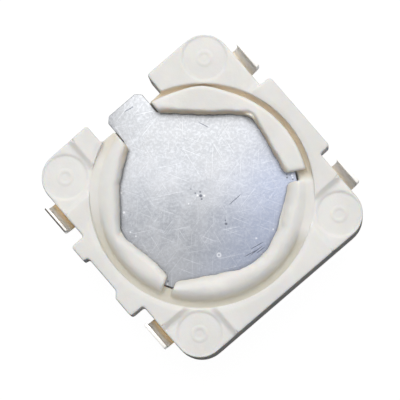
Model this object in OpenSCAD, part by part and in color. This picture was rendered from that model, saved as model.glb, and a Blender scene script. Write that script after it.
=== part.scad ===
// Sealed surface-mount push button switch with a moulded square housing.
// The solder side points up (+Z) and the switch rests on the face of its push button (z = 0).
// Depths are measured down from the solder side of the housing.
// The closing plate's tab points along +Y, and the leads leave the two X sides.

/* [Housing] */
// Length of the housing along Y, over the corners
body_length = 8.38; // [8:0.02:10]
// Width of the housing along X, between the two walls that the leads leave
body_width = 7.62; // [7.5:0.02:9]
// Radius of the four corners seen from the solder side
corner_radius = 0.9; // [0.3:0.05:1.4]
// How far the plain stop block stands out from the +X wall
plain_block_reach = 0.41; // [0.3:0.01:0.8]
// How far the notched stop block stands out from the -X wall
notched_block_reach = 0.52; // [0.4:0.01:0.8]
// Length of the stop blocks along Y
block_length = 3; // [2.4:0.05:3.4]
// Height of the stop blocks, down from the solder side
block_height = 1.25; // [0.6:0.05:1.8]
// Radius of the stop blocks' outer corners
block_round = 0.1; // [0.04:0.01:0.2]
// Depth of the shallow notch in the stop block on the -X side
block_notch_depth = 0.18; // [0.1:0.01:0.3]
// Length of that notch along Y
block_notch_length = 1.5; // [0.8:0.05:1.8]
// Distance from the stop block's upper end to its notch
block_notch_inset = 0.63; // [0.4:0.01:0.8]

/* [Corner pads] */
// How far the corner pads lie below the solder side
pad_depth = 0.14; // [0.04:0.01:0.2]
// Distance from the middle to the pads' edges along X
pad_edge_x = 2.03; // [1.8:0.01:2.6]
// Distance from the middle to the pads' edges along Y
pad_edge_y = 2.4; // [2.1:0.05:2.9]
// Diameter of the round ejector mark in each pad
ejector_mark_d = 1.46; // [0.8:0.02:1.6]
// Depth of the ejector marks below the pads
ejector_mark_depth = 0.03; // [0.01:0.01:0.06]
// Distance from the ejector marks' edges to the walls
ejector_mark_inset = 0.08; // [0:0.01:0.2]

/* [Groove and rims] */
// Radius of the outer wall of the round groove
groove_radius = 3.68; // [3.62:0.01:3.74]
// Depth of the groove
groove_depth = 0.47; // [0.4:0.01:0.6]
// Width of the groove, from the rims' foot to its outer wall
groove_width = 0.24; // [0.15:0.01:0.3]
// How far the groove's hollow floor rises towards its outer wall
groove_rise = 0.26; // [0.1:0.01:0.3]
// Width of the rounded outer shoulder of the left and lower rims
rim_shoulder = 0.42; // [0.2:0.01:0.44]
// How far the flat rim beside the tab spreads over the groove
flat_rim_spread = 0.06; // [0.02:0.01:0.12]
// Edge radius of that flat rim
flat_rim_edge = 0.08; // [0.03:0.01:0.2]
// Depth of the rims' crests below the solder side
rim_crest = 0.02; // [0:0.01:0.05]
// Width of the two narrow gaps between the rims
rim_gap = 0.32; // [0.15:0.01:0.5]
// Depth of the gaps' floors below the groove's floor and the plate's outer face
rim_gap_dip = 0.02; // [0.01:0.01:0.1]

/* [Closing plate] */
// Thickness of the sheet steel plate
plate_thickness = 0.25; // [0.15:0.01:0.3]
// Depth of the plate's outer face below the solder side
plate_depth = 0.45; // [0.3:0.01:0.5]
// Play around the plate in its pocket
plate_play = 0.03; // [0.01:0.01:0.08]
// Thickness of the wall between the plate's pocket and the groove
ring_wall = 0.26; // [0.22:0.01:0.32]
// Width of the plate's tab
tab_width = 1.46; // [1:0.02:1.8]
// How far the tab lies to the left of the middle
tab_offset = 0.05; // [0:0.01:0.2]
// How far the tab's end stays inside the housing's edge
tab_setback = 0.19; // [0.05:0.01:0.4]
// Size of the cut corners at the tab's end
tab_chamfer = 0.17; // [0.05:0.01:0.4]
// Distance from the middle to the left side of the through notch around the tab
tab_notch_left = 1.37; // [1.2:0.01:1.5]
// Distance from the middle to the right side of that notch
tab_notch_right = 1.2; // [1.1:0.01:1.5]
// Depth of the through notch from the housing's edge
tab_notch_depth = 0.72; // [0.5:0.01:0.74]

/* [Leads] */
// Distance between the middles of the two leads on one side
lead_pitch = 5; // [4.7:0.05:5.4]
// Width of a lead
lead_width = 1; // [0.6:0.05:1.2]
// Thickness of the leads and of the frames that they belong to
sheet = 0.12; // [0.1:0.01:0.2]
// Distance from the wall to the outer face of a lead
lead_reach = 0.38; // [0.34:0.01:0.5]
// Inner radius of the leads' bend
lead_bend = 0.22; // [0.05:0.01:0.24]
// Depth of the frames' upper face below the solder side
frame_depth = 0.92; // [0.85:0.01:1]
// How far the leads' ends stand above the solder side
foot_proud = 0.1; // [0.02:0.01:0.15]

/* [Contacts] */
// Thickness of the plastic skin that covers the frames outside the contact pads
skin = 0.1; // [0.05:0.01:0.12]
// Diameter of the snap dome
dome_d = 4.8; // [4.2:0.05:5]
// Thickness of the dome's sheet
dome_sheet = 0.07; // [0.04:0.01:0.1]

/* [Button] */
// Diameter of the push button's round head
button_d = 4.8; // [4:0.05:5]
// How far the head stands out of the cover
button_proud = 1; // [0.6:0.05:2]
// How far the button travels, which the dome's height follows
travel = 0.3; // [0.2:0.01:0.35]
// How much wider than the head the button's flange is, on each side
flange_width = 0.25; // [0.1:0.01:0.28]
// Thickness of the flange
flange_thickness = 0.28; // [0.2:0.01:0.4]
// Height of the nub that presses on the seal, above the flange
nub_height = 0.1; // [0.02:0.01:0.3]
// Running clearance between the head and the cover's hole, on each side
button_play = 0.06; // [0.03:0.01:0.1]
// Thickness of the cover plate
cover_thickness = 0.2; // [0.15:0.01:0.3]
// How far the cover stays inside the housing's edges
cover_setback = 0.15; // [0.05:0.01:0.3]
// Diameter of the moulded studs that hold the cover
stud_d = 0.7; // [0.5:0.05:0.8]
// Thickness of the studs' flattened heads
stud_head = 0.12; // [0.05:0.01:0.2]

/* [Seal] */
// Thickness of the rubber seal over the dome
seal_thickness = 0.18; // [0.1:0.01:0.25]
// Width of the bead at the seal's edge
bead_width = 0.32; // [0.25:0.01:0.34]

/* [Hidden] */

CREAM = "#ece6d6";
STEEL = "#c3c8d3";
TINNED = "#b79c6e";
SILVER = "#d8d8d4";
RUBBER = "#4a4a4c";
BUTTON_BLACK = "#26282b";

ROUND = 128;
SMALL_ROUND = 48;
DOME_ROUND = 256;
ARC_STEPS = 10;
LIFT = 0.01;
CUT = 1;
HALF_TURN = 180;
QUARTER_TURN = 90;
SIGNS = [-1, 1];

// Heights of what is stacked between the frames and the cover, which give the housing its thickness.
dome_rest = 0.06;
dome_height = travel + dome_rest;
seal_play = 0.02;
flange_play = 0.03;
chamber_height = skin + dome_height + dome_sheet + 2 * seal_play + seal_thickness
    + nub_height + flange_thickness + flange_play;
body_height = frame_depth + sheet + chamber_height;

wall_x = body_width / 2;
wall_y = body_length / 2;
plain_block_x = wall_x + plain_block_reach;
notched_block_x = wall_x + notched_block_reach;
block_y = block_length / 2;
notch_fillet = 0.06;
notch_lip = 0.1;
cover_z = button_proud + cover_thickness;
solder_z = cover_z + body_height;
tip_z = solder_z + foot_proud;

ring_radius = groove_radius - groove_width;
flat_rim_radius = ring_radius + flat_rim_spread;
pocket_radius = ring_radius - ring_wall;
rim_reach = 1.2;
rim_toe = 0.03;
rim_slope = groove_depth - rim_crest - rim_toe;
slot_overlap = 1;
rim_inner = pocket_radius - rim_reach;
plate_radius = pocket_radius - plate_play;
plate_z = solder_z - plate_depth;
plate_floor_z = plate_z - plate_thickness;
groove_floor_z = solder_z - groove_depth;
crest_z = solder_z - rim_crest;

notch_y = wall_y - tab_notch_depth;
tab_end = wall_y - tab_setback;
tab_left = -tab_offset - tab_width / 2;
tab_right = -tab_offset + tab_width / 2;

frame_top_z = solder_z - frame_depth;
frame_z = frame_top_z - sheet;
contact_z = frame_z - skin;
lead_x = wall_x + lead_reach;

dome_radius = dome_d / 2;
dome_sphere = (dome_radius * dome_radius + dome_height * dome_height) / (2 * dome_height);
dome_tip_z = contact_z - dome_height - dome_sheet;
dome_play = 0.12;
dome_seat_radius = dome_radius + dome_play;

outer_pad_d = 0.7;
outer_pad_angles = [-66, -22, 22, 66];
centre_pad_d = 1.1;
strip_width = 0.8;
strip_inset = 0.1;
strip_radius = dome_radius - strip_inset;
strip_half_angle = 80;
bar_width = 0.55;
bar_inset = 0.35;
arm_width = 0.8;

head_radius = button_d / 2;
head_edge = 0.15;
nub_radius = 0.9;
flange_radius = head_radius + flange_width;
flange_z = cover_z + flange_play;
flange_top_z = flange_z + flange_thickness;
button_top_z = flange_top_z + nub_height;
seal_face_z = button_top_z + seal_play;
seal_disc_radius = 1.5;

chamber_play = 0.2;
bead_inner = flange_radius + chamber_play;
bead_outer = bead_inner + bead_width;
bead_recess = 0.2;
bead_top_z = contact_z - bead_recess;

stud_inset = 0.92;
stud_x = wall_x - stud_inset;
stud_y = wall_y - stud_inset;
stud_play = 0.04;
stud_spread = 0.18;
cover_corner_min = 0.1;

// The window between the three rims, as [x, y, radius] corners. Hot tooling folded each rim inwards
// by a different amount, so it is uneven: the flat rim first, then the lower and the left one.
rim_window = [
    [0.72, 2.98, 0.1], [2.95, 0.97, 0.7], [2.55, -1, 0.1], [2.56, -1.36, 0], [2.5, -1.47, 0],
    [0.18, -3.13, 2], [-2.53, -1.53, 0], [-2.57, -1.36, 0], [-2.58, -0.7, 0.3],
    [-2.86, 0.75, 0.5], [-1.82, 2.06, 0.6], [-0.74, 2.79, 0],
];
tab_angle = 90;
left_gap_angle = 209.3;
right_gap_angle = 331;

function unit(v) = v / norm(v);
function turned(v, a) = [v[0] * cos(a) - v[1] * sin(a), v[0] * sin(a) + v[1] * cos(a)];

// Points along a round corner between two straight lines, from the corner's place and its radius.
function corner_arc(before, at, after, r) =
    let (
        u = unit(before - at),
        w = unit(after - at),
        half = acos(u * w) / 2,
        middle = at + unit(u + w) * (r / sin(half)),
        first = at + u * (r / tan(half)) - middle,
        sweep = HALF_TURN - 2 * half,
        turn = cross(u, w) > 0 ? -sweep : sweep
    )
    [for (i = [0:ARC_STEPS]) middle + turned(first, turn * i / ARC_STEPS)];

// A closed outline from a list of [x, y, radius] corners.
function rounded_outline(corners) =
    let (n = len(corners), at = [for (c = corners) [c[0], c[1]]])
    [
        for (i = [0:n - 1])
            each corners[i][2] > 0
                ? corner_arc(at[(i + n - 1) % n], at[i], at[(i + 1) % n], corners[i][2])
                : [at[i]]
    ];

// Quarter of an ellipse that rounds the top outer edge of a turned section, from its crest outwards.
function edge_arc(outer, top, width, height) = [
    for (i = [0:ARC_STEPS])
        let (a = QUARTER_TURN * i / ARC_STEPS)
        [outer - width * (1 - sin(a)), top - height * (1 - cos(a))]
];

module rounded_plate(length_x, length_y, radius) {
    polygon(rounded_outline([
        for (s = [[1, 1], [-1, 1], [-1, -1], [1, -1]]) [s[0] * length_x / 2, s[1] * length_y / 2, radius]
    ]));
}

module ring(inner, outer, z, height) {
    translate([0, 0, z]) difference() {
        cylinder(r = outer, h = height, $fn = ROUND);
        translate([0, 0, -CUT]) cylinder(r = inner, h = height + 2 * CUT, $fn = ROUND);
    }
}

// The four walls of the housing, with the through notch for the plate's tab.
module wall_outline() {
    polygon(rounded_outline([
        [wall_x, -wall_y, corner_radius], [wall_x, wall_y, corner_radius],
        [tab_notch_right, wall_y, notch_lip], [tab_notch_right, notch_y, notch_fillet],
        [-tab_notch_left, notch_y, notch_fillet], [-tab_notch_left, wall_y, notch_fillet],
        [-wall_x, wall_y, corner_radius], [-wall_x, -wall_y, corner_radius],
    ]));
}

// The stop blocks between the leads. The one on the -X side has a notch with a slanted lower end.
module block_outline() {
    floor_x = notched_block_x - block_notch_depth;
    upper = block_y - block_notch_inset;
    lower = upper - block_notch_length;
    polygon(rounded_outline([
        [plain_block_x, -block_y, block_round], [plain_block_x, block_y, block_round],
        [-notched_block_x, block_y, block_round], [-notched_block_x, upper, 0], [-floor_x, upper, 0],
        [-floor_x, lower + block_notch_depth / 2, notch_fillet],
        [-notched_block_x, lower - block_notch_depth / 2, notch_fillet],
        [-notched_block_x, -block_y, block_round],
    ]));
}

// The pads lie in the four corners, outside the groove. The one right of the tab runs on to its notch.
module corner_pads() {
    pads = [
        [1, 1, tab_notch_right, block_y], [-1, 1, pad_edge_x, pad_edge_y],
        [-1, -1, pad_edge_x, pad_edge_y], [1, -1, pad_edge_x, pad_edge_y],
    ];
    for (pad = pads)
        translate([0, 0, solder_z - pad_depth]) linear_extrude(pad_depth + CUT) difference() {
            scale([pad[0], pad[1]]) translate([pad[2], pad[3]]) square([body_width, body_length]);
            circle(r = groove_radius, $fn = ROUND);
        }
}

module ejector_marks() {
    mark_inset = ejector_mark_inset + ejector_mark_d / 2;
    for (sx = SIGNS, sy = SIGNS)
        translate([sx * (wall_x - mark_inset), sy * (wall_y - mark_inset), 0])
            translate([0, 0, solder_z - pad_depth - ejector_mark_depth])
                cylinder(d = ejector_mark_d, h = CUT, $fn = SMALL_ROUND);
}

// The groove is a hollow that rises outwards in a quarter of an ellipse, up to a short steep wall.
module groove() {
    rise_top = groove_floor_z + groove_rise;
    rotate_extrude($fn = ROUND) polygon(concat(
        [[0, solder_z + CUT], [0, groove_floor_z]],
        [
            for (i = [0:ARC_STEPS])
                let (a = QUARTER_TURN * i / ARC_STEPS)
                [ring_radius + groove_width * sin(a), rise_top - groove_rise * cos(a)]
        ],
        [[groove_radius, solder_z + CUT]]
    ));
}

// One rim as a slice of a turned section: a flat crest and a rounded outer edge above the groove.
module rim(from, to, outer, edge_width, edge_height) {
    slice = 2 * groove_radius;
    foot_z = groove_floor_z - LIFT;
    intersection() {
        rotate_extrude($fn = ROUND) polygon(concat(
            [[rim_inner, foot_z], [rim_inner, crest_z]],
            edge_arc(outer, crest_z, edge_width, edge_height),
            [[outer, foot_z]]
        ));
        translate([0, 0, foot_z - CUT]) linear_extrude(groove_depth + 2 * CUT) polygon(concat(
            [[0, 0]],
            [for (i = [0:ARC_STEPS]) turned([slice, 0], from + (to - from) * i / ARC_STEPS)]
        ));
    }
}

// The three rims around the plate. The one right of the tab was pressed flat and spread outwards.
module swaged_rims() {
    rim(right_gap_angle - 2 * HALF_TURN, tab_angle, flat_rim_radius, flat_rim_edge, flat_rim_edge);
    rim(tab_angle, left_gap_angle, ring_radius, rim_shoulder, rim_slope);
    rim(left_gap_angle, right_gap_angle, ring_radius, rim_shoulder, rim_slope);
}

// Everything that is cut out of the ring: the window, the plate's pocket and the gaps between the rims.
module ring_cuts() {
    slot_start = pocket_radius - slot_overlap;
    gap_floor_z = min(groove_floor_z, plate_z) - rim_gap_dip;
    translate([0, 0, plate_z - LIFT])
        linear_extrude(plate_depth + CUT) polygon(rounded_outline(rim_window));
    translate([0, 0, plate_floor_z]) cylinder(r = pocket_radius, h = plate_thickness, $fn = ROUND);
    slot_height = plate_depth + plate_thickness;
    translate([tab_left - plate_play, slot_start, plate_floor_z])
        cube([tab_width + 2 * plate_play, wall_y - slot_start + CUT, slot_height + CUT]);
    for (a = [right_gap_angle, left_gap_angle])
        rotate([0, 0, a]) translate([slot_start, -rim_gap / 2, gap_floor_z])
            cube([flat_rim_radius - slot_start + LIFT, rim_gap, plate_depth + CUT]);
}

// The chamber for the dome, the seal and the button's flange, open towards the cover.
module chamber() {
    translate([0, 0, cover_z - CUT])
        cylinder(r = bead_outer, h = bead_top_z - cover_z + CUT, $fn = ROUND);
    translate([0, 0, cover_z - CUT])
        cylinder(r = dome_seat_radius, h = contact_z - cover_z + CUT, $fn = ROUND);
}

module studs() {
    for (sx = SIGNS, sy = SIGNS)
        translate([sx * stud_x, sy * stud_y, 0]) {
            translate([0, 0, button_proud]) cylinder(d = stud_d, h = cover_thickness, $fn = SMALL_ROUND);
            translate([0, 0, button_proud - stud_head])
                cylinder(d = stud_d + 2 * stud_spread, h = stud_head, $fn = SMALL_ROUND);
        }
}

module housing() {
    color(CREAM) union() {
        difference() {
            union() {
                difference() {
                    union() {
                        translate([0, 0, cover_z]) linear_extrude(body_height) wall_outline();
                        translate([0, 0, solder_z - block_height])
                            linear_extrude(block_height) block_outline();
                    }
                    groove();
                    corner_pads();
                    ejector_marks();
                }
                swaged_rims();
            }
            ring_cuts();
            translate([-tab_notch_left, notch_y, cover_z - CUT])
                cube([tab_notch_left + tab_notch_right, tab_notch_depth, body_height + 2 * CUT]);
            chamber();
            common_metal();
            centre_metal();
        }
        studs();
    }
}

// Round sheet plate with its tab. The tab lies in the gap between two rims and over the through notch.
module base_plate() {
    color(STEEL) translate([0, 0, plate_floor_z]) linear_extrude(plate_thickness) union() {
        circle(r = plate_radius, $fn = ROUND);
        polygon([
            [tab_left, 0], [tab_right, 0],
            [tab_right, tab_end - tab_chamfer], [tab_right - tab_chamfer, tab_end],
            [tab_left + tab_chamfer, tab_end], [tab_left, tab_end - tab_chamfer],
        ]);
    }
}

// One lead on the +X side: out of the wall, round the bend and up to the board.
module lead(y, root_x) {
    bend_x = lead_x - sheet - lead_bend;
    bend_z = frame_top_z + lead_bend;
    translate([0, y + lead_width / 2, 0]) rotate([90, 0, 0]) linear_extrude(lead_width) {
        translate([root_x, frame_z]) square([bend_x - root_x, sheet]);
        intersection() {
            translate([bend_x, bend_z]) difference() {
                circle(r = lead_bend + sheet, $fn = SMALL_ROUND);
                circle(r = lead_bend, $fn = SMALL_ROUND);
            }
            translate([bend_x, frame_z]) square([lead_bend + sheet, lead_bend + sheet]);
        }
        translate([lead_x - sheet, bend_z]) square([sheet, tip_z - bend_z]);
    }
}

// Frame of the two +X leads: a curved strip under the dome's edge with four contact pads.
module common_metal() {
    strip_x = strip_radius * cos(strip_half_angle);
    for (sy = SIGNS) lead(sy * lead_pitch / 2, strip_x + lead_width / 2);
    intersection() {
        ring(strip_radius - strip_width / 2, strip_radius + strip_width / 2, frame_z, sheet);
        translate([strip_x, -wall_y, frame_z]) cube([body_width, body_length, sheet]);
    }
    for (a = outer_pad_angles)
        rotate([0, 0, a]) translate([strip_radius, 0, contact_z])
            cylinder(d = outer_pad_d, h = skin + LIFT, $fn = SMALL_ROUND);
}

// Frame of the two -X leads: a bar, and an arm to the contact under the dome's middle.
module centre_metal() {
    bar_x = wall_x - bar_inset;
    for (sy = SIGNS) mirror([1, 0, 0]) lead(sy * lead_pitch / 2, bar_x - bar_width);
    bar_length = lead_pitch + lead_width;
    translate([-bar_x, -bar_length / 2, frame_z]) cube([bar_width, bar_length, sheet]);
    translate([-bar_x, -arm_width / 2, frame_z]) cube([bar_x, arm_width, sheet]);
    translate([0, 0, contact_z]) cylinder(d = centre_pad_d, h = skin + sheet, $fn = SMALL_ROUND);
}

module common_terminal() {
    color(TINNED) common_metal();
}

module centre_terminal() {
    color(TINNED) centre_metal();
}

// Spherical cap with its edge on the outer contacts and its tip towards the button.
module snap_dome() {
    color(SILVER) intersection() {
        translate([0, 0, contact_z - dome_height + dome_sphere]) difference() {
            sphere(r = dome_sphere + dome_sheet, $fn = DOME_ROUND);
            sphere(r = dome_sphere, $fn = DOME_ROUND);
        }
        translate([0, 0, dome_tip_z - CUT])
            cylinder(r = dome_radius, h = contact_z - dome_tip_z + CUT, $fn = ROUND);
    }
}

// Rubber seal: a middle disc on the dome, a thin cone and a bead that the cover clamps.
module rubber_seal() {
    disc_top_z = seal_face_z + seal_thickness;
    color(RUBBER) rotate_extrude($fn = ROUND) polygon([
        [0, seal_face_z], [seal_disc_radius, seal_face_z],
        [bead_inner, bead_top_z - seal_thickness], [bead_inner, cover_z],
        [bead_outer, cover_z], [bead_outer, bead_top_z],
        [bead_inner, bead_top_z], [seal_disc_radius, disc_top_z], [0, disc_top_z],
    ]);
}

// Push button: a flange that stays behind the cover and a round head that stands out of it.
module push_button() {
    edge = [for (p = edge_arc(head_radius, 0, head_edge, head_edge)) [p[0], -p[1]]];
    color(BUTTON_BLACK) rotate_extrude($fn = ROUND) polygon(concat(
        [[0, 0]], edge,
        [
            [head_radius, flange_z], [flange_radius, flange_z], [flange_radius, flange_top_z],
            [nub_radius, flange_top_z], [nub_radius, button_top_z], [0, button_top_z],
        ]
    ));
}

// Sheet cover with a hole for the button and four holes for the studs.
module cover_plate() {
    color(STEEL) translate([0, 0, button_proud]) linear_extrude(cover_thickness) difference() {
        rounded_plate(
            body_width - 2 * cover_setback, body_length - 2 * cover_setback,
            max(corner_radius - cover_setback, cover_corner_min)
        );
        translate([-tab_notch_left - cover_setback, notch_y - cover_setback])
            square([tab_notch_left + tab_notch_right + 2 * cover_setback, tab_notch_depth]);
        circle(r = head_radius + button_play, $fn = ROUND);
        for (sx = SIGNS, sy = SIGNS)
            translate([sx * stud_x, sy * stud_y]) circle(d = stud_d + 2 * stud_play, $fn = SMALL_ROUND);
    }
}

housing();
base_plate();
common_terminal();
centre_terminal();
snap_dome();
rubber_seal();
push_button();
cover_plate();
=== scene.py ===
# %% [markdown]
# A sealed push button switch, seen on its solder side
#
# The real thing is a moulded square housing of a cream plastic, about 8 mm wide, closed by a round
# sheet of steel that three folded plastic rims hold in place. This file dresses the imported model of
# it: softened mouldings, sheet metal with its scratches, plated leads and a plain studio around it.
# Everything is in metres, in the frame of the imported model, so a size in millimetres is multiplied
# by MM. The solder side of the housing lies at solder_z, and the face of the plate at plate_z.

import math

import bmesh
import bpy
from mathutils import Matrix, Vector, noise


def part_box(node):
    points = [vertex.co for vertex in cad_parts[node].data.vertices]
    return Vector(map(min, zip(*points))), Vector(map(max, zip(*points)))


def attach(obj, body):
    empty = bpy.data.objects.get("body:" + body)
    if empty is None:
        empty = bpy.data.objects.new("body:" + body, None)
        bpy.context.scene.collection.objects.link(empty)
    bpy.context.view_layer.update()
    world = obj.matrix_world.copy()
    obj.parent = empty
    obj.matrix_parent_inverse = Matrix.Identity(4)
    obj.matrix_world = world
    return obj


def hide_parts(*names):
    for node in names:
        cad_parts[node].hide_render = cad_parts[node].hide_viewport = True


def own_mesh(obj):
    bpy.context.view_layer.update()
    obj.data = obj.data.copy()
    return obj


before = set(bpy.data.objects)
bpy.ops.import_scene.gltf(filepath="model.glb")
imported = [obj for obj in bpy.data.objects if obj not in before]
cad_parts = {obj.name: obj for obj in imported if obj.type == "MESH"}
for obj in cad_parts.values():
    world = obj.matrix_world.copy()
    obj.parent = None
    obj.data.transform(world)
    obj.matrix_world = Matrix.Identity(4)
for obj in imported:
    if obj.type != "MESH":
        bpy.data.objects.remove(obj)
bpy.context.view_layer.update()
MM = 0.001
solder_z = 3.4 * MM
plate_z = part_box("base_plate")[1].z
leads_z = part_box("common_terminal")[1].z
print("nodes:", sorted(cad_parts))
print("plate at", round(plate_z / MM, 3), "mm, leads end at", round(leads_z / MM, 3), "mm")

# %% [markdown]
# Camera
#
# The photograph looks almost straight down on the switch with a long lens, and the switch is turned
# by about an eighth of a turn. A camera could be placed by hand, but its place was worked out from the
# corners of the housing, the ends of the leads and the round groove, which fix where it stands. It is
# written as a turn, a height, a roll and a distance, because these are easy to read.

# %% Camera
CAMERA_TURN = 16.57
CAMERA_HEIGHT = 85.0
CAMERA_ROLL = -24.13
CAMERA_DISTANCE = 130 * MM
CAMERA_LENS = 358.91
CAMERA_SENSOR = 36
CAMERA_NEAR, CAMERA_FAR = 5 * MM, 2
CAMERA_AIM = Vector((-0.1476 * MM, -0.0847 * MM, solder_z))

turn = math.radians(CAMERA_TURN)
height = math.radians(CAMERA_HEIGHT)
looking = Vector((math.sin(turn) * math.cos(height), math.cos(turn) * math.cos(height), -math.sin(height)))
level_right = Vector((math.cos(turn), -math.sin(turn), 0))
level_up = level_right.cross(looking)
roll = math.radians(CAMERA_ROLL)
right = level_right * math.cos(roll) + level_up * math.sin(roll)
up = level_up * math.cos(roll) - level_right * math.sin(roll)

camera_data = bpy.data.cameras.new("camera")
camera_data.lens = CAMERA_LENS
camera_data.sensor_width = CAMERA_SENSOR
camera_data.clip_start = CAMERA_NEAR
camera_data.clip_end = CAMERA_FAR
camera = bpy.data.objects.new("camera", camera_data)
bpy.context.collection.objects.link(camera)
basis = Matrix((right, up, -looking)).transposed().to_4x4()
camera.matrix_world = Matrix.Translation(CAMERA_AIM - looking * CAMERA_DISTANCE) @ basis
bpy.context.scene.camera = camera
print("camera stands at", [round(v / MM, 1) for v in camera.location], "mm")

# %% [markdown]
# Small helpers for nodes and colours
#
# A material here is a tree of nodes. Writing each node and link by hand takes three lines, so one
# function adds a node with its settings and its inputs. An input is given by its name or its number
# (i0 is the first one), and it is a plain value, an output to link, or a node, whose first output in
# use is linked. Settings that come up often have a name. Colours are written as they look on a
# screen and turned to the linear numbers that the renderer wants.

# %% Nodes and colours
COLOURS = {"data_type": "RGBA"}
NUMBERS = {"data_type": "FLOAT"}
SOFTLY = {"interpolation_type": "SMOOTHSTEP"}
TIMES = {"operation": "MULTIPLY"}
MINUS = {"operation": "SUBTRACT"}
LARGER = {"operation": "MAXIMUM"}
POWER = {"operation": "POWER"}
ABSOLUTE = {"operation": "ABSOLUTE"}
ALONG = {"operation": "DOT_PRODUCT"}
LENGTH = {"operation": "LENGTH"}
DISTANCE = {"operation": "DISTANCE"}
LAID = {"vector_type": "TEXTURE"}


def feed(node, **inputs):
    """Sets inputs of a node, or links them where an output or a node is given."""
    for name, value in inputs.items():
        key = int(name[1:]) if name[0] == "i" and name[1:].isdigit() else name.replace("_", " ")
        if isinstance(value, bpy.types.Node):
            value = next(output for output in value.outputs if output.enabled)
        if isinstance(value, bpy.types.NodeSocket):
            node.id_data.links.new(value, node.inputs[key])
        else:
            node.inputs[key].default_value = value
    return node


def add(tree, kind, settings=None, **inputs):
    """One new node of a tree, with its settings and its inputs."""
    node = tree.nodes.new(kind)
    for name, value in (settings or {}).items():
        setattr(node, name, value)
    return feed(node, **inputs)


def linear(hex_colour):
    """Linear red, green, blue and alpha of an sRGB colour such as #c8ccd2."""
    parts = [int(hex_colour[i:i + 2], 16) / 255 for i in (1, 3, 5)]
    return [p / 12.92 if p <= 0.04045 else ((p + 0.055) / 1.055) ** 2.4 for p in parts] + [1]


def seen_straight(tree):
    """1 for rays from the camera, for mirror rays and for rays through something clear, else 0."""
    path = add(tree, "ShaderNodeLightPath").outputs
    mirrored = add(tree, "ShaderNodeMath", LARGER, i0=path["Is Camera Ray"], i1=path["Is Glossy Ray"])
    return add(tree, "ShaderNodeMath", LARGER, i0=mirrored, i1=path["Is Transmission Ray"])


print("a mid grey of #808080 is", round(linear("#808080")[0], 3), "in linear numbers")

# %% [markdown]
# Lamp
#
# The photograph has light from beyond the plate's tab, and the walls that face the other way are deep
# in shade. Several lamps would give several shadows, and the photograph shows one soft one, so a
# single area lamp, as wide as its distance, gives the light.

# %% Lamp
LAMP_TURN = 38
LAMP_HEIGHT = 55
LAMP_DISTANCE = 120 * MM
LAMP_SIZE = 120 * MM
LAMP_POWER = 0.122

turn, height = math.radians(LAMP_TURN), math.radians(LAMP_HEIGHT)
toward = Vector((math.sin(turn) * math.cos(height), math.cos(turn) * math.cos(height), math.sin(height)))
lamp_data = bpy.data.lights.new("window_lamp", "AREA")
lamp_data.size = LAMP_SIZE
lamp_data.energy = LAMP_POWER
lamp_data.color = linear("#fffcf7")[:3]
lamp = bpy.data.objects.new("window_lamp", lamp_data)
bpy.context.collection.objects.link(lamp)
lamp.location = toward * LAMP_DISTANCE
lamp.rotation_euler = lamp.location.to_track_quat("Z", "Y").to_euler()
print("lamp stands at", [round(v / MM, 1) for v in lamp.location], "mm")

# %% [markdown]
# World
#
# The world fills the groove from straight above, as a soft box over the table would, and is dim near
# the horizon, so that it hardly lights the walls. It is plain white to the camera and in the metal,
# because the photograph has a pure white ground.

# %% World
SKY_TOP = 1.45
SKY_EDGE = 0.015
SKY_FOCUS = 6.0

world = bpy.data.worlds.new("studio")
bpy.context.scene.world = world
world.use_nodes = True
tree = world.node_tree
tree.nodes.clear()
direction = add(tree, "ShaderNodeTexCoord").outputs["Generated"]
upward = add(tree, "ShaderNodeSeparateXYZ", Vector=direction).outputs["Z"]
upward = add(tree, "ShaderNodeMath", LARGER, i0=upward, i1=0.0)
overhead = add(tree, "ShaderNodeMath", POWER, i0=upward, i1=SKY_FOCUS)
sky = add(tree, "ShaderNodeMapRange", Value=overhead, To_Min=SKY_EDGE, To_Max=SKY_TOP)
strength = add(tree, "ShaderNodeMix", NUMBERS, i0=seen_straight(tree), i2=sky, i3=1.0)
light = add(tree, "ShaderNodeBackground", Color=linear("#ffffff"), Strength=strength)
add(tree, "ShaderNodeOutputWorld", Surface=light)
bpy.context.scene.view_settings.view_transform = "Standard"
print("sky strength goes from", SKY_EDGE, "at the horizon to", SKY_TOP, "above")

# %% [markdown]
# Floor
#
# The switch lies on white paper. Plain white paper would come out grey in the shade and would light
# the walls from below. So this one is dim and matt to the lamp, and glows only to the camera and in
# the metal, where it is white and still takes a faint shadow. From below it is clear, so that the
# button's side can be looked at, and it lies a hair below the button's face, so that the two don't
# share one plane.

# %% Floor
FLOOR_SIZE = 400 * MM
FLOOR_DROP = 0.01 * MM
PAPER_GLOW = 0.96

bm = bmesh.new()
bmesh.ops.create_grid(bm, x_segments=1, y_segments=1, size=FLOOR_SIZE / 2)
floor_mesh = bpy.data.meshes.new("floor")
bm.to_mesh(floor_mesh)
bm.free()
floor = bpy.data.objects.new("floor", floor_mesh)
floor.location.z = -FLOOR_DROP
bpy.context.collection.objects.link(floor)

paper = bpy.data.materials.new("white_studio_paper")
paper.use_nodes = True
tree = paper.node_tree
tree.nodes.clear()
matt = add(tree, "ShaderNodeBsdfDiffuse", Color=linear("#585858"))
glow = add(tree, "ShaderNodeEmission", Color=linear("#ffffff"), Strength=PAPER_GLOW)
both = add(tree, "ShaderNodeAddShader", i0=matt, i1=glow)
above = add(tree, "ShaderNodeMixShader", i0=seen_straight(tree), i1=matt, i2=both)
from_below = add(tree, "ShaderNodeNewGeometry").outputs["Backfacing"]
clear = add(tree, "ShaderNodeBsdfTransparent")
sided = add(tree, "ShaderNodeMixShader", i0=from_below, i1=above, i2=clear)
add(tree, "ShaderNodeOutputMaterial", Surface=sided)
floor_mesh.materials.append(paper)
print("floor is", FLOOR_SIZE / MM, "mm wide")

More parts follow.
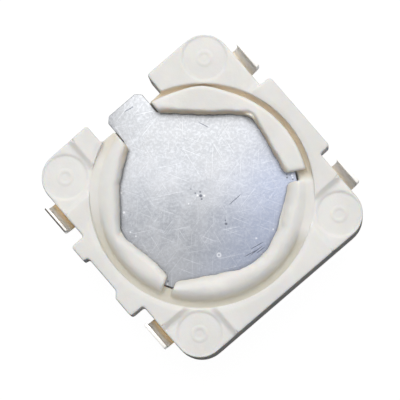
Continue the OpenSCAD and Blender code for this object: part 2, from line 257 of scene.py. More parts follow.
# %% [markdown]
# Soft edges for a moulding
#
# A real moulding has no sharp edge anywhere, and the three rims were folded over by a hot tool, which
# leaves them puffy. A Bevel modifier would need clean edges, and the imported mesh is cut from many
# solids. So a copy of it is wrapped in one even skin of small squares (a voxel remesh), which is
# smoothed and then thinned where it is flat. The work is done in millimetres, because the remesh
# takes no squares smaller than a tenth of a thousandth of a unit.

# %% Remould a node
JOIN_REACH = 0.0005 * MM


def merged_copy(node):
    """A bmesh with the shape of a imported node, with its loose triangles joined."""
    bm = bmesh.new()
    bm.from_mesh(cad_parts[node].data)
    bmesh.ops.remove_doubles(bm, verts=bm.verts, dist=JOIN_REACH)
    return bm


def as_piece(bm, name):
    """A new object made from a bmesh, which is freed."""
    mesh = bpy.data.meshes.new(name)
    bm.to_mesh(mesh)
    bm.free()
    piece = bpy.data.objects.new(name, mesh)
    bpy.context.collection.objects.link(piece)
    return piece


def with_modifiers(piece, *steps):
    """Applies modifiers, each a kind and its settings, and leaves the finished mesh on the piece."""
    for kind, settings in steps:
        modifier = piece.modifiers.new(kind.lower(), kind)
        for name, value in settings.items():
            setattr(modifier, name, value)
    finished = bpy.data.meshes.new_from_object(piece.evaluated_get(bpy.context.evaluated_depsgraph_get()))
    piece.modifiers.clear()
    piece.data = finished
    return piece


def stand_in(piece, node, body, material):
    """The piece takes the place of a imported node, its body and its finish."""
    piece.data.materials.clear()
    piece.data.materials.append(material)
    for face in piece.data.polygons:
        face.use_smooth = True
    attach(piece, body)
    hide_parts(node)
    piece.data.calc_loop_triangles()
    print(piece.name, "has", len(piece.data.loop_triangles), "triangles")


# %% [markdown]
# Masks and layers
#
# A mask is a number between 0 and 1 at each point of a surface. Two masks multiplied leave only what
# both of them cover, and the larger of two keeps what either covers. A finish is built up as paint
# is: a base colour, and over it thin layers, each with its mask and its share.

# %% Masks and layers


def new_material(name):
    """An empty node material and its Principled shader, joined to the output."""
    material = bpy.data.materials.new(name)
    material.use_nodes = True
    tree = material.node_tree
    tree.nodes.clear()
    shader = add(tree, "ShaderNodeBsdfPrincipled")
    add(tree, "ShaderNodeOutputMaterial", Surface=shader)
    return material, tree, shader


def per_mm(size_mm):
    """Scale of a noise pattern whose grain is about that many millimetres wide."""
    return 1 / (size_mm * MM)


def all_of(tree, first, *others):
    """A mask that is 1 only where each of the given ones is."""
    for other in others:
        first = add(tree, "ShaderNodeMath", TIMES, i0=first, i1=other)
    return first


def any_of(tree, first, *others):
    """The largest of several masks at each point."""
    for other in others:
        first = add(tree, "ShaderNodeMath", LARGER, i0=first, i1=other)
    return first


def layered(tree, base, *layers):
    """A base colour with others laid over it, each given as a mask, its share and the colour."""
    for mask, share, colour in layers:
        amount = add(tree, "ShaderNodeMath", TIMES, i0=mask, i1=share)
        base = add(tree, "ShaderNodeMix", COLOURS, i0=amount, i6=base, i7=colour)
    return base


print("a grain of 0.5 mm has the scale", per_mm(0.5))

# %% [markdown]
# Housing plastic
#
# The housing is moulded from a cream high-temperature plastic (a liquid crystal polymer) with a matt
# skin. Light enters it a little, which softens the shadows. The groove around the rims carries a painted
# shade: a tan that follows the depth inside the groove's circle, lighter and warmer towards the lamp. A
# paler warm tone is painted light on the thin inner edge of the rim beside the tab, where it lies in
# shade. One noise gives the faint flow marks of the moulding and two more its grain and ripples, and a
# fine ring stands in each mark of an ejector pin.

# %% Housing plastic
TOWARD_LAMP = (0.7, 0.7, 0)
MARK_X, MARK_Y = 3.0, 3.38

cream, tree, shader = new_material("moulded_cream_lcp")
place = add(tree, "ShaderNodeTexCoord").outputs["Object"]
rise = add(tree, "ShaderNodeSeparateXYZ", Vector=place).outputs["Z"]
flat = add(tree, "ShaderNodeVectorMath", TIMES, i0=place, i1=(1, 1, 0))
radius = add(tree, "ShaderNodeVectorMath", LENGTH, i0=flat)
across = add(tree, "ShaderNodeVectorMath", ALONG, i0=place, i1=TOWARD_LAMP)

flow = add(tree, "ShaderNodeTexNoise", Vector=place, Scale=per_mm(1.6), Detail=3.0, Roughness=0.55)
clouds = add(tree, "ShaderNodeMapRange", SOFTLY, Value=flow, From_Min=0.35, From_Max=0.65)
base = add(tree, "ShaderNodeMix", COLOURS, i0=clouds, i6=linear("#eaeae9"), i7=linear("#f0f0ef"))
# Painted shade: inside the groove the cream turns tan with depth, lighter and warmer towards the lamp.
inside = add(tree, "ShaderNodeMapRange", SOFTLY, Value=radius, From_Min=3.74 * MM, From_Max=3.66 * MM)
deep = add(tree, "ShaderNodeMapRange", SOFTLY, Value=rise, From_Min=3.32 * MM, From_Max=3.0 * MM)
lit = add(tree, "ShaderNodeMapRange", SOFTLY, Value=across, From_Min=0.0, From_Max=2.4 * MM)
groove_painted_shade = add(tree, "ShaderNodeMix", COLOURS, i0=lit, i6=linear("#d0ccc0"), i7=linear("#e0d0b6"))
# Painted light: a pale warm tone on the thin inner edge of the rim beside the tab, a wall that lies in
# shade.
lip = add(tree, "ShaderNodeMapRange", SOFTLY, Value=radius, From_Min=3.15 * MM, From_Max=3.05 * MM)
thin = add(tree, "ShaderNodeMapRange", SOFTLY, Value=rise, From_Min=3.37 * MM, From_Max=3.25 * MM)
by_tab = add(tree, "ShaderNodeMapRange", SOFTLY, Value=across, From_Min=0.4 * MM, From_Max=1.6 * MM)
base = layered(tree, base,
               (all_of(tree, inside, deep), 0.85, groove_painted_shade),
               (all_of(tree, lip, thin, by_tab), 0.9, linear("#f3e4cc")))

grain = add(tree, "ShaderNodeTexNoise", Vector=place, Scale=per_mm(0.07), Detail=3.0, Roughness=0.6)
ripple = add(tree, "ShaderNodeTexNoise", Vector=place, Scale=per_mm(0.5), Detail=2.0, Roughness=0.5)
quarter = add(tree, "ShaderNodeVectorMath", ABSOLUTE, i0=flat)
pin = add(tree, "ShaderNodeVectorMath", DISTANCE, i0=quarter, i1=(MARK_X * MM, MARK_Y * MM, 0))
inner = add(tree, "ShaderNodeMapRange", SOFTLY, Value=pin, From_Min=0.1 * MM, From_Max=0.2 * MM)
outer = add(tree, "ShaderNodeMapRange", SOFTLY, Value=pin, From_Min=0.32 * MM, From_Max=0.22 * MM)
ring = all_of(tree, inner, outer)
bump = add(tree, "ShaderNodeBump", Height=grain, Strength=0.25, Distance=0.02 * MM)
bump = add(tree, "ShaderNodeBump", Height=ripple, Strength=0.3, Distance=0.05 * MM, Normal=bump)
bump = add(tree, "ShaderNodeBump", Height=ring, Strength=0.6, Distance=0.03 * MM, Normal=bump)
feed(shader, Base_Color=base, Normal=bump, Roughness=0.7, Specular_IOR_Level=0.12,
     Subsurface_Weight=0.7, Subsurface_Radius=(1.0, 0.8, 0.6), Subsurface_Scale=0.16 * MM)
print(cream.name, "has", len(tree.nodes), "nodes")

# %% [markdown]
# Housing: the solder side
#
# The four corners are pads that lie a little lower than the walls between them, each with the round
# mark of an ejector pin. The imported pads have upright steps, and on the real switch the steps are
# soft. So the height of the solder side is worked out here for any place on it, from the pads, the
# marks and the wear along the groove, and the skin of the housing is laid on that height.

# %% Housing: the solder side
SOLDER_MM = solder_z / MM
GROOVE_MM = 3.68
PAD_DEPTH = 0.14
PAD_SLOPE = (-0.04, 0.2)
PADS = ((1, 1, 0.5, 1.5), (-1, 1, 2.03, 2.4), (-1, -1, 2.03, 2.4), (1, -1, 2.03, 2.4))
STEP_REACH = 0.07
STEP_INSIDE = (3.7, 4.08)
MARK_RADIUS, MARK_DEPTH, MARK_EDGE = 0.73, 0.05, 0.03
WORN_DEPTH = 0.04


def ramp(value, low, high):
    """0 up to low and 1 from high on, with a smooth climb between them; low may be the larger."""
    share = max(0.0, min(1.0, (value - low) / (high - low)))
    return share * share * (3 - 2 * share)


def top_height(x, y, reach):
    """Height of the solder side outside the groove: pads with soft steps, ejector marks, a worn rim."""
    pad = max(ramp(min(sx * x - px, sy * y - py), *PAD_SLOPE) for sx, sy, px, py in PADS)
    from_pin = math.hypot(abs(x) - MARK_X, abs(y) - MARK_Y)
    mark = ramp(from_pin, MARK_RADIUS + MARK_EDGE, MARK_RADIUS - MARK_EDGE)
    worn = ramp(reach, GROOVE_MM + 0.2, GROOVE_MM - 0.02)
    return SOLDER_MM - PAD_DEPTH * pad - MARK_DEPTH * mark - WORN_DEPTH * worn * (1 - pad)


def on_step(x, y):
    """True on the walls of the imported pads, away from the outer walls: they become the soft step."""
    near = min(abs(min(sx * x - px, sy * y - py)) for sx, sy, px, py in PADS)
    return near < STEP_REACH and abs(x) < STEP_INSIDE[0] and abs(y) < STEP_INSIDE[1]


print("a pad lies", round(SOLDER_MM - top_height(-3.2, -2.6, 4.1), 3), "mm below the solder side")

# %% [markdown]
# Housing: the groove and the rims
#
# Where a corner pad touches the groove, the groove is filled with plastic. The hot tool pressed each
# rim's inner edge down to a thin lip over the plate: the lip is narrow on the flat rim beside the tab
# and wide on the other two. WINDOW is the outline of the plate between the rims, and the height of a
# lip follows the distance from it.

# %% Housing: the groove and the rims
WINDOW = [Vector(corner) for corner in (
    (0.72, 2.98), (2.95, 0.97), (2.55, -1.0), (2.56, -1.36), (2.5, -1.47), (1.3, -2.4), (0.18, -2.72),
    (-1.2, -2.3), (-2.53, -1.53), (-2.57, -1.36), (-2.58, -0.7), (-2.86, 0.75), (-1.82, 2.06),
    (-0.74, 2.79))]
GAP_ANGLES = (209.3, 331)
TAB_END = (0.85, 3.05)
FLAT_LIP, LEFT_LIP, LOWER_LIP = (0.5, 0.09), (0.5, 0.22), (0.4, 0.42)
BULGE, BULGE_ANGLE, BULGE_SPREAD = 0.1, 50, 10


def soft_max(a, b, blend_mm):
    """The larger of two heights, with a fillet where they meet."""
    close = max(0.0, 1 - abs(a - b) / blend_mm)
    return max(a, b) + close * close * blend_mm / 4


def groove_fill(angle):
    """How far the groove is filled at an angle from +X, in degrees: full beside the left and right pads."""
    right_pad = ramp(angle, 284, 302) * ramp(angle, 335, 326)
    left_pad = ramp(angle, 98, 100) * ramp(angle, 174, 142) * (0.8 + 0.2 * ramp(angle, 115, 126))
    return max(right_pad, left_pad)


def flat_rim(angle):
    """1 at the flat rim beside the tab, 0 at the two others."""
    return 1 - ramp(angle, 88, 92) * ramp(angle, 333, 329)


def bulge(angle, reach):
    """How far the outer side of the flat rim bulges into the groove, most of all at its corner."""
    around = math.exp(-((angle - BULGE_ANGLE) / BULGE_SPREAD) ** 2)
    return BULGE * around * ramp(reach, 3.05, 3.4) * ramp(reach, 3.66, 3.56)


def segment_distance(at, a, b):
    """Distance from a point to the line between two corners."""
    along = max(0.0, min(1.0, (at - a).dot(b - a) / (b - a).length_squared))
    return (at - a - (b - a) * along).length


def lip_height(x, y, angle):
    """Share of its height that a rim keeps near its inner edge."""
    at = Vector((x, y))
    to_edge = min(segment_distance(at, WINDOW[i - 1], WINDOW[i]) for i in range(len(WINDOW)))
    curled = LEFT_LIP if angle < GAP_ANGLES[0] else LOWER_LIP
    thin, wide = FLAT_LIP if flat_rim(angle) > 0.5 else curled
    return thin + (1 - thin) * math.sin(min(1, to_edge / wide) * math.pi / 2)


def end_distance(x, y, angle):
    """Distance to the middle line of a gap between two rims, or a large one on the other side."""
    a = math.radians(angle)
    along = x * math.cos(a) + y * math.sin(a)
    return abs(y * math.cos(a) - x * math.sin(a)) if along > 0 else 9.0


print("the plate's window has", len(WINDOW), "corners")

# %% [markdown]
# Housing: the soft skin
#
# The housing is wrapped in squares of 0.036 mm, a quarter of the pads' depth, so that each form keeps
# its place, and a few rounds of smoothing take its sharp edges away.

# %% Housing: the soft skin
SKIN_MM = 0.036
FIRST_ROUNDS = 5

bm = merged_copy("housing")
bmesh.ops.scale(bm, vec=(1 / MM, 1 / MM, 1 / MM), verts=bm.verts)
housing = as_piece(bm, "soft_housing")
with_modifiers(housing,
               ("REMESH", {"mode": "VOXEL", "voxel_size": SKIN_MM}),
               ("SMOOTH", {"factor": 0.5, "iterations": FIRST_ROUNDS}))
print("housing skin has", len(housing.data.vertices), "points")

# %% [markdown]
# Housing: pads, groove and rims
#
# Each point of the skin is now moved to where it lies on the real switch. A sculptor would do it with
# a brush, and here the heights worked out above do it. The inner edges of the folded rims are ragged,
# because the plastic was pushed there while it was soft: those points lean outwards a little at the
# flat rim and wander with a noise, and the rims' tops dip and rise by a hundredth of a millimetre or
# two.

# %% Housing: pads, groove and rims
PLATE_MM = plate_z / MM
SEAM = 0.02
TOP_LAYER = 0.2
GROOVE_DEPTH, FILL_RISE, FILL_BLEND = 0.5, 0.34, 0.12
RIM_HEIGHT = 0.35
RIM_FOOT, RIM_FADE = 3.36, 0.3
RIM_CREST = 3.1
RIM_LEAN = 0.03
RIM_WANDER = 0.045
TOP_WANDER = 0.02

upright = [normal.vector.z for normal in housing.data.vertex_normals]
for point, facing_up in zip(housing.data.vertices, upright):
    x, y, z = point.co
    reach = math.hypot(x, y)
    angle = math.degrees(math.atan2(y, x)) % 360
    if z > SOLDER_MM - TOP_LAYER and reach > GROOVE_MM - SEAM:
        level = top_height(x, y, reach)
        point.co.z = level if facing_up > 0.5 or on_step(x, y) else min(z, level)
    elif z > PLATE_MM - 0.1 and 2.9 < reach < GROOVE_MM + SEAM:
        filled = groove_fill(angle)
        if filled > 0:
            bottom = SOLDER_MM - GROOVE_DEPTH + FILL_RISE * filled
            point.co.z = z = z + (soft_max(z, bottom, FILL_BLEND) - z) * ramp(filled, 0, 0.1)
    if z > PLATE_MM + SEAM and 1.5 < reach < GROOVE_MM:
        if reach < RIM_CREST:
            point.co.z = z = PLATE_MM + (z - PLATE_MM) * lip_height(x, y, angle)
        share = min(1, (z - PLATE_MM) / RIM_HEIGHT)
        inner = max(0.0, min(1.0, (RIM_FOOT - reach) / RIM_FADE))
        wander = noise.noise(Vector((x * 1.7, y * 1.7, 4.0)))
        wander += 0.5 * noise.noise(Vector((x * 5, y * 5, z * 2)))
        out = inner * (RIM_LEAN * flat_rim(angle) * share + RIM_WANDER * wander) + bulge(angle, reach)
        point.co.x += x / reach * out
        point.co.y += y / reach * out
        point.co.z += TOP_WANDER * share * noise.noise(Vector((x * 1.1, y * 1.1, 9.0)))
print("plate at", round(PLATE_MM, 3), "mm, top of the skin at",
      round(max(point.co.z for point in housing.data.vertices), 3), "mm")

# %% [markdown]
# Housing: round ends and thinning
#
# The ends of the rims at the gaps and beside the tab are rounder than the rest, so those points are
# gathered in a vertex group that is smoothed more. Then the skin is thinned where it is flat.

# %% Housing: round ends and thinning
END_REACH = 0.6
END_ROUNDS = 24
FINAL_ROUNDS = 6
PIECE_BUDGET = 185000

ends = housing.vertex_groups.new(name="rim_ends")
for point in housing.data.vertices:
    x, y, z = point.co
    near = min(end_distance(x, y, a) for a in GAP_ANGLES)
    near = min(near, math.hypot(x - TAB_END[0], y - TAB_END[1]))
    if near < END_REACH and z > PLATE_MM + 0.01 and 2.2 < math.hypot(x, y) < 3.6:
        ends.add([point.index], ramp(near, END_REACH, END_REACH / 2), "REPLACE")
housing.data.calc_loop_triangles()
full = len(housing.data.loop_triangles)
with_modifiers(housing,
               ("SMOOTH", {"factor": 0.5, "iterations": END_ROUNDS, "vertex_group": "rim_ends"}),
               ("SMOOTH", {"factor": 0.5, "iterations": FINAL_ROUNDS}),
               ("DECIMATE", {"ratio": min(1, PIECE_BUDGET / full)}))
housing.data.transform(Matrix.Scale(MM, 4))
print("housing skin had", full, "triangles before thinning")
stand_in(housing, "housing", "switch_body", cream)

# %% [markdown]
# Scratches, spots and dents
#
# A rolled sheet could be given one stretched noise, but scratches in one direction only would look
# brushed. So several noises, each stretched along another direction, are cut off high to leave thin
# streaks. The larger marks of the real plate are placed one by one, as spots and as short lines.

# %% Scratches, spots and dents
STREAK_FADE = 0.07


def streaks(tree, place, angle, long_mm, wide_mm, keep):
    """Mask of fine scratches in one direction: a stretched noise, of which only the peaks are kept."""
    laid = add(tree, "ShaderNodeMapping", LAID, Vector=place,
               Rotation=(0, 0, math.radians(angle)), Scale=(long_mm * MM, wide_mm * MM, MM))
    field = add(tree, "ShaderNodeTexNoise", Vector=laid, Scale=1.0, Detail=1.0, Roughness=0.4)
    return add(tree, "ShaderNodeMapRange", SOFTLY, Value=field, From_Min=keep, From_Max=keep + STREAK_FADE)


def spot(tree, place, x, y, radius_mm, edge_mm):
    """Mask of a round spot on the plate."""
    away = add(tree, "ShaderNodeVectorMath", DISTANCE, i0=place, i1=(x * MM, y * MM, plate_z))
    return add(tree, "ShaderNodeMapRange", SOFTLY, Value=away,
               From_Min=(radius_mm + edge_mm) * MM, From_Max=(radius_mm - edge_mm) * MM)


def dent(tree, place, x0, y0, x1, y1, wide_mm):
    """Mask of one straight scratch between two points of the plate."""
    length = math.hypot(x1 - x0, y1 - y0)
    laid = add(tree, "ShaderNodeMapping", LAID, Vector=place,
               Location=((x0 + x1) / 2 * MM, (y0 + y1) / 2 * MM, plate_z),
               Rotation=(0, 0, math.atan2(y1 - y0, x1 - x0)),
               Scale=(length / 2 * MM, wide_mm / 2 * MM, MM))
    sides = add(tree, "ShaderNodeVectorMath", ABSOLUTE, i0=laid)
    parts = add(tree, "ShaderNodeSeparateXYZ", Vector=sides).outputs
    return add(tree, "ShaderNodeMapRange", SOFTLY, Value=any_of(tree, parts["X"], parts["Y"]),
               From_Min=1.4, From_Max=0.6)


DARK_SPOTS = (
    (-0.03, 0.04, 0.05), (0.04, 0.15, 0.03), (-0.11, 0.22, 0.025), (-0.13, 0.42, 0.02),
    (-0.08, -0.06, 0.03), (0.0, -1.2, 0.04), (0.06, -1.1, 0.02), (0.17, 3.72, 0.02),
    (-2.78, -1.52, 0.03), (-2.66, -1.38, 0.025), (2.5, -1.35, 0.03), (2.55, -1.27, 0.02),
    (2.6, -1.52, 0.025))
PALE_SPOTS = (
    (-0.1, 0.12, 0.03), (0.06, -0.03, 0.03), (-1.94, 1.81, 0.03), (-2.29, 1.27, 0.04),
    (-2.55, 0.64, 0.03), (-2.5, 0.42, 0.025), (1.05, -2.34, 0.03), (0.44, -2.2, 0.03),
    (-0.5, 0.1, 0.02), (-2.74, -1.45, 0.03), (2.67, -1.4, 0.03), (2.64, -1.47, 0.025))
DENTS = (
    (0.52, -0.79, 0.96, -0.78), (0.17, 3.72, -0.11, 3.77), (-0.2, -2.42, 0.18, -2.5),
    (-0.05, -2.5, 0.4, -2.52), (0.1, -2.36, 0.5, -2.44), (0.15, -2.58, 0.45, -2.6),
    (1.5, 1.9, 1.62, 1.6))
DENT_WIDTH = 0.025
RING_X, RING_Y = -0.84, -1.82
print(len(DARK_SPOTS) + len(PALE_SPOTS), "spots and", len(DENTS), "dents are placed one by one")

# %% [markdown]
# Sheet steel
#
# The plate was punched from rolled stainless sheet and has rubbed against other parts since: a satin
# grey with fine scratches in all directions, dull blotches, a centre mark and a small pressed ring.
# Towards its lower right edge it takes a bluish tint, and towards the lamp a painted shade darkens it.
# The real sheet seems to be crowned a little, too little to show in its outline, but enough to shift
# its bright part: a bump that falls off from the middle does the same without bending the plate.

# %% Sheet steel
TOWARD_BLUE = (0.6, -1, 0)
CROWN_STRETCH = (0.6, 1, 0)
CROWN_RADIUS = 3.15 * MM
CROWN_HEIGHT = 0.11 * MM

steel, tree, shader = new_material("rolled_stainless_sheet")
place = add(tree, "ShaderNodeTexCoord").outputs["Object"]
bloom = add(tree, "ShaderNodeTexNoise", Vector=place, Scale=per_mm(1.2), Detail=4.0, Roughness=0.6)
speck = add(tree, "ShaderNodeTexNoise", Vector=place, Scale=per_mm(0.09), Detail=3.0, Roughness=0.65)
blotches = add(tree, "ShaderNodeMapRange", SOFTLY, Value=bloom, From_Min=0.35, From_Max=0.68)
base = add(tree, "ShaderNodeMix", COLOURS, i0=blotches, i6=linear("#96999f"), i7=linear("#a5a7ac"))
blue_way = add(tree, "ShaderNodeVectorMath", ALONG, i0=place, i1=TOWARD_BLUE)
bluish = add(tree, "ShaderNodeMapRange", SOFTLY, Value=blue_way, From_Min=-0.2 * MM, From_Max=3.2 * MM)
# Painted shade: the plate is darkened towards the lamp, to hold back the lamp's bright reflection there.
lamp_way = add(tree, "ShaderNodeVectorMath", ALONG, i0=place, i1=TOWARD_LAMP)
lamp_side_painted_shade = add(tree, "ShaderNodeMapRange", SOFTLY, Value=lamp_way, From_Min=0.4 * MM, From_Max=1.8 * MM)
specks = add(tree, "ShaderNodeMapRange", SOFTLY, Value=speck, From_Min=0.42, From_Max=0.68)
light_lines = any_of(tree, *[streaks(tree, place, a, 1.8, 0.03, 0.68) for a in (12, 47, 81, 118, 151)])
dark_lines = any_of(tree, *[streaks(tree, place, a, 0.9, 0.03, 0.72) for a in (30, 66, 134)])
dark = any_of(tree, *[spot(tree, place, x, y, r, 0.02) for x, y, r in DARK_SPOTS],
              *[dent(tree, place, *line, DENT_WIDTH) for line in DENTS])
hollow = add(tree, "ShaderNodeMath", MINUS, i0=1.0, i1=spot(tree, place, RING_X, RING_Y, 0.035, 0.02))
ring = all_of(tree, spot(tree, place, RING_X, RING_Y, 0.08, 0.025), hollow)
pale = any_of(tree, ring, *[spot(tree, place, x, y, r, 0.015) for x, y, r in PALE_SPOTS])
base = layered(tree, base,
               (bluish, 0.75, linear("#9ea7bf")),
               (lamp_side_painted_shade, 0.42, linear("#838587")),
               (specks, 0.3, linear("#bcc0c8")),
               (light_lines, 0.42, linear("#cdd0d6")),
               (dark_lines, 0.35, linear("#858a96")),
               (dark, 0.8, linear("#4d515d")),
               (pale, 0.5, linear("#f0f1f4")))

rough = add(tree, "ShaderNodeMapRange", Value=bloom, From_Min=0.3, From_Max=0.7, To_Min=0.36, To_Max=0.44)
flat = add(tree, "ShaderNodeVectorMath", TIMES, i0=place, i1=CROWN_STRETCH)
squared = add(tree, "ShaderNodeVectorMath", ALONG, i0=flat, i1=flat)
crowned = add(tree, "ShaderNodeMath", TIMES, i0=squared, i1=-1 / CROWN_RADIUS ** 2)
sunk = add(tree, "ShaderNodeMath", TIMES, i0=any_of(tree, light_lines, dark_lines, dark), i1=0.5)
relief = add(tree, "ShaderNodeMath", MINUS, i0=speck, i1=sunk)
bump = add(tree, "ShaderNodeBump", Height=crowned, Strength=1.0, Distance=CROWN_HEIGHT)
bump = add(tree, "ShaderNodeBump", Height=relief, Strength=0.3, Distance=0.01 * MM, Normal=bump)
bump = add(tree, "ShaderNodeBump", Height=bloom, Strength=0.4, Distance=0.04 * MM, Normal=bump)
feed(shader, Base_Color=base, Metallic=1.0, Roughness=rough, Normal=bump)
print(steel.name, "has", len(tree.nodes), "nodes")

# %% [markdown]
# Closing plate
#
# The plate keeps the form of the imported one, because its edge must stay under the folded rims. A
# punched edge is rolled over on one side, so a bevel of 0.025 mm breaks it.

# %% Closing plate
FLAT_ANGLE = math.radians(1)
SHARP_ANGLE = math.radians(40)
PLATE_EDGE = 0.025 * MM

bm = merged_copy("base_plate")
bmesh.ops.dissolve_limit(bm, angle_limit=FLAT_ANGLE, verts=bm.verts, edges=bm.edges)
sharp = [e for e in bm.edges if e.calc_face_angle(0) > SHARP_ANGLE]
bmesh.ops.bevel(bm, geom=sharp, affect="EDGES", offset=PLATE_EDGE, segments=3, profile=0.5, material=-1)
bmesh.ops.triangulate(bm, faces=bm.faces)
plate = as_piece(bm, "punched_plate")
stand_in(plate, "base_plate", "switch_body", steel)

# %% [markdown]
# Plated bronze
#
# The leads are punched from bronze strip and plated bright. Their colour follows the distance from the
# middle: a tan root of painted shade and painted reflection of the wall, a paler arm with less of it
# and an almost white outer face, which is duller too. The painted shade is browner on the -X side than
# on the +X side, and a painted shade darkens the top of the outer face of one lead.

# %% Plated bronze
plated, tree, shader = new_material("plated_bronze_sheet")
place = add(tree, "ShaderNodeTexCoord").outputs["Object"]
axes = add(tree, "ShaderNodeSeparateXYZ", Vector=place).outputs
away = add(tree, "ShaderNodeMath", ABSOLUTE, i0=axes["X"])
cloud = add(tree, "ShaderNodeTexNoise", Vector=place, Scale=per_mm(0.35), Detail=3.0, Roughness=0.6)
side = add(tree, "ShaderNodeMapRange", SOFTLY, Value=axes["X"], From_Min=-1 * MM, From_Max=1 * MM)
# Painted shade and painted reflection of the cream wall: tan at the root, paler along the arm, browner on
# the -X side.
painted_root_shade = add(tree, "ShaderNodeMix", COLOURS, i0=side, i6=linear("#bf9c6a"), i7=linear("#cdbfa8"))
painted_arm_reflection = add(tree, "ShaderNodeMix", COLOURS, i0=side, i6=linear("#f0dcba"), i7=linear("#ece4d6"))
past_root = add(tree, "ShaderNodeMapRange", SOFTLY, Value=away, From_Min=3.79 * MM, From_Max=3.94 * MM)
outside = add(tree, "ShaderNodeMapRange", SOFTLY, Value=away, From_Min=3.9 * MM, From_Max=4.03 * MM)
stain = add(tree, "ShaderNodeMapRange", SOFTLY, Value=cloud, From_Min=0.5, From_Max=0.8)
# Painted shade on the top of the outer face of the -X lead on the +Y side.
at_end = add(tree, "ShaderNodeMapRange", SOFTLY, Value=axes["X"], From_Min=-4.12 * MM, From_Max=-4.16 * MM)
one_lead = add(tree, "ShaderNodeMapRange", SOFTLY, Value=axes["Y"], From_Min=-1 * MM, From_Max=1 * MM)
at_top = add(tree, "ShaderNodeMapRange", SOFTLY, Value=axes["Z"], From_Min=3.25 * MM, From_Max=3.4 * MM)
base = layered(tree, painted_root_shade,
               (past_root, 1.0, painted_arm_reflection),
               (outside, 1.0, linear("#fdfbf8")),
               (stain, 0.2, linear("#a08e74")),
               (all_of(tree, at_end, one_lead, at_top), 1.0, linear("#4a443e")))
rough = add(tree, "ShaderNodeMapRange", Value=cloud, To_Min=0.35, To_Max=0.55)
bright = add(tree, "ShaderNodeMapRange", Value=away, From_Min=3.86 * MM, From_Max=3.98 * MM,
             To_Min=0.7, To_Max=0.3)
drawn = streaks(tree, place, 0, 0.9, 0.03, 0.55)
bump = add(tree, "ShaderNodeBump", Height=drawn, Strength=0.25, Distance=0.008 * MM)
feed(shader, Base_Color=base, Metallic=bright, Roughness=rough, Normal=bump)
print(plated.name, "has", len(tree.nodes), "nodes")

# %% [markdown]
# Plated leads
#
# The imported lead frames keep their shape, apart from their edges: a bevel of two hundredths of a
# millimetre catches the light as the rolled edge of punched metal does.

# %% Plated leads
LEAD_EDGE = 0.02 * MM

for node, name in (("common_terminal", "plated_common_leads"), ("centre_terminal", "plated_centre_leads")):
    bm = merged_copy(node)
    bmesh.ops.dissolve_limit(bm, angle_limit=FLAT_ANGLE, verts=bm.verts, edges=bm.edges)
    piece = as_piece(bm, name)
    with_modifiers(piece, ("BEVEL", {"width": LEAD_EDGE, "segments": 2, "limit_method": "ANGLE",
                                     "angle_limit": SHARP_ANGLE, "profile": 0.5}))
    stand_in(piece, node, "switch_body", plated)

# %% [markdown]
# Finishes of the hidden side
#
# The photograph doesn't show the cover, the dome, the seal and the button, so they are finished as
# such parts commonly are. The cover is brushed steel, whose long fine lines stretch a reflection.
# The dome is bright spring steel, with hardly a pattern. The seal is silicone rubber, dull and a
# little dusty. The button is moulded polyamide, with the fine matt grain of its mould.

# %% Finishes of the hidden side
satin, tree, shader = new_material("brushed_steel_cover")
place = add(tree, "ShaderNodeTexCoord").outputs["Object"]
brushed = add(tree, "ShaderNodeMapping", LAID, Vector=place, Scale=(2.5 * MM, 0.04 * MM, MM))
lines = add(tree, "ShaderNodeTexNoise", Vector=brushed, Scale=1.0, Detail=3.0, Roughness=0.6)
base = add(tree, "ShaderNodeMix", COLOURS, i0=lines, i6=linear("#b4b8c0"), i7=linear("#cfd2d8"))
rough = add(tree, "ShaderNodeMapRange", Value=lines, To_Min=0.26, To_Max=0.42)
bump = add(tree, "ShaderNodeBump", Height=lines, Strength=0.3, Distance=0.01 * MM)
feed(shader, Base_Color=base, Metallic=1.0, Roughness=rough, Normal=bump)

spring, tree, shader = new_material("rolled_spring_steel")
place = add(tree, "ShaderNodeTexCoord").outputs["Object"]
cloud = add(tree, "ShaderNodeTexNoise", Vector=place, Scale=per_mm(0.6), Detail=3.0, Roughness=0.6)
base = add(tree, "ShaderNodeMix", COLOURS, i0=cloud, i6=linear("#c9c9c4"), i7=linear("#dededa"))
feed(shader, Base_Color=base, Metallic=1.0, Roughness=0.22)

rubber, tree, shader = new_material("moulded_silicone_rubber")
place = add(tree, "ShaderNodeTexCoord").outputs["Object"]
dust = add(tree, "ShaderNodeTexNoise", Vector=place, Scale=per_mm(0.15), Detail=4.0, Roughness=0.65)
base = add(tree, "ShaderNodeMix", COLOURS, i0=dust, i6=linear("#434345"), i7=linear("#565658"))
bump = add(tree, "ShaderNodeBump", Height=dust, Strength=0.3, Distance=0.01 * MM)
feed(shader, Base_Color=base, Roughness=0.7, Normal=bump)

black, tree, shader = new_material("moulded_black_polyamide")
place = add(tree, "ShaderNodeTexCoord").outputs["Object"]
spark = add(tree, "ShaderNodeTexNoise", Vector=place, Scale=per_mm(0.08), Detail=3.0, Roughness=0.6)
base = add(tree, "ShaderNodeMix", COLOURS, i0=spark, i6=linear("#232528"), i7=linear("#303236"))
bump = add(tree, "ShaderNodeBump", Height=spark, Strength=0.4, Distance=0.015 * MM)
feed(shader, Base_Color=base, Roughness=0.5, Normal=bump)

for name, material in {"cover_plate": satin, "push_button": black}.items():
    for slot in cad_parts[name].material_slots:
        slot.material = material
    print(name, "is finished with", material.name)
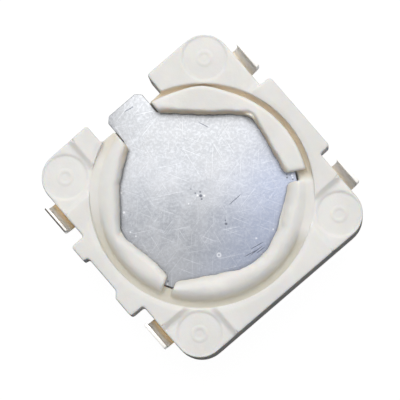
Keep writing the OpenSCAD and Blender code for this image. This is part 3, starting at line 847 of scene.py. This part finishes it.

# %% [markdown]
# Seal and dome
#
# The seal's section is spun again in two pieces with round edges, because a soft part has no sharp
# ones: a bead that stays clamped, and a thin skin, which on the real switch goes flat as the button
# travels, as the dome does. Here the dome keeps the imported shape.

# %% Seal and dome
SEAL_SKIN = 0.18 * MM
SEAL_DISC = 1.5 * MM
SEAL_LIFT = 0.02 * MM
SEAL_STEPS = 128
SEAL_EDGE = 0.05 * MM
SEAL_SHARP_ANGLE = math.radians(35)
BEAD_INNER = 2.85 * MM
BEAD_TUCK = 0.01 * MM
ON_AXIS = 0.001 * MM
NO_LENGTH = 0.0002 * MM


def spun(section, name):
    """A piece made by spinning a closed section of (radius, height) corners around the middle axis."""
    bm = bmesh.new()
    corners = [bm.verts.new((r, 0, z)) for r, z in section]
    edges = [bm.edges.new((corners[i - 1], corners[i])) for i in range(len(corners))]
    bmesh.ops.spin(bm, geom=corners + edges, axis=(0, 0, 1), cent=(0, 0, 0), angle=2 * math.pi,
                   steps=SEAL_STEPS, use_merge=True)
    bmesh.ops.remove_doubles(bm, verts=bm.verts, dist=JOIN_REACH)
    collapsed = [f for f in bm.faces if all(math.hypot(v.co.x, v.co.y) < ON_AXIS for v in f.verts)]
    bmesh.ops.delete(bm, geom=collapsed, context="FACES")
    bmesh.ops.dissolve_degenerate(bm, dist=NO_LENGTH, edges=bm.edges)
    bmesh.ops.recalc_face_normals(bm, faces=bm.faces)
    piece = as_piece(bm, name)
    return with_modifiers(piece, ("BEVEL", {"width": SEAL_EDGE, "segments": 3, "limit_method": "ANGLE",
                                            "angle_limit": SEAL_SHARP_ANGLE, "profile": 0.5}))


seal_low, seal_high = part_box("rubber_seal")
seal_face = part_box("push_button")[1].z + SEAL_LIFT
bead = spun([(BEAD_INNER, seal_low.z), (seal_high.x, seal_low.z), (seal_high.x, seal_high.z),
             (BEAD_INNER, seal_high.z)], "rubber_bead")
stand_in(bead, "rubber_seal", "switch_body", rubber)
edge = BEAD_INNER + BEAD_TUCK
skin = spun([(0, seal_face), (SEAL_DISC, seal_face), (edge, seal_high.z - SEAL_SKIN), (edge, seal_high.z),
             (SEAL_DISC, seal_face + SEAL_SKIN), (0, seal_face + SEAL_SKIN)], "rubber_skin")
stand_in(skin, "rubber_seal", "switch_body", rubber)
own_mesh(skin)
sprung = as_piece(merged_copy("snap_dome"), "sprung_dome")
stand_in(sprung, "snap_dome", "switch_body", spring)
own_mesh(sprung)
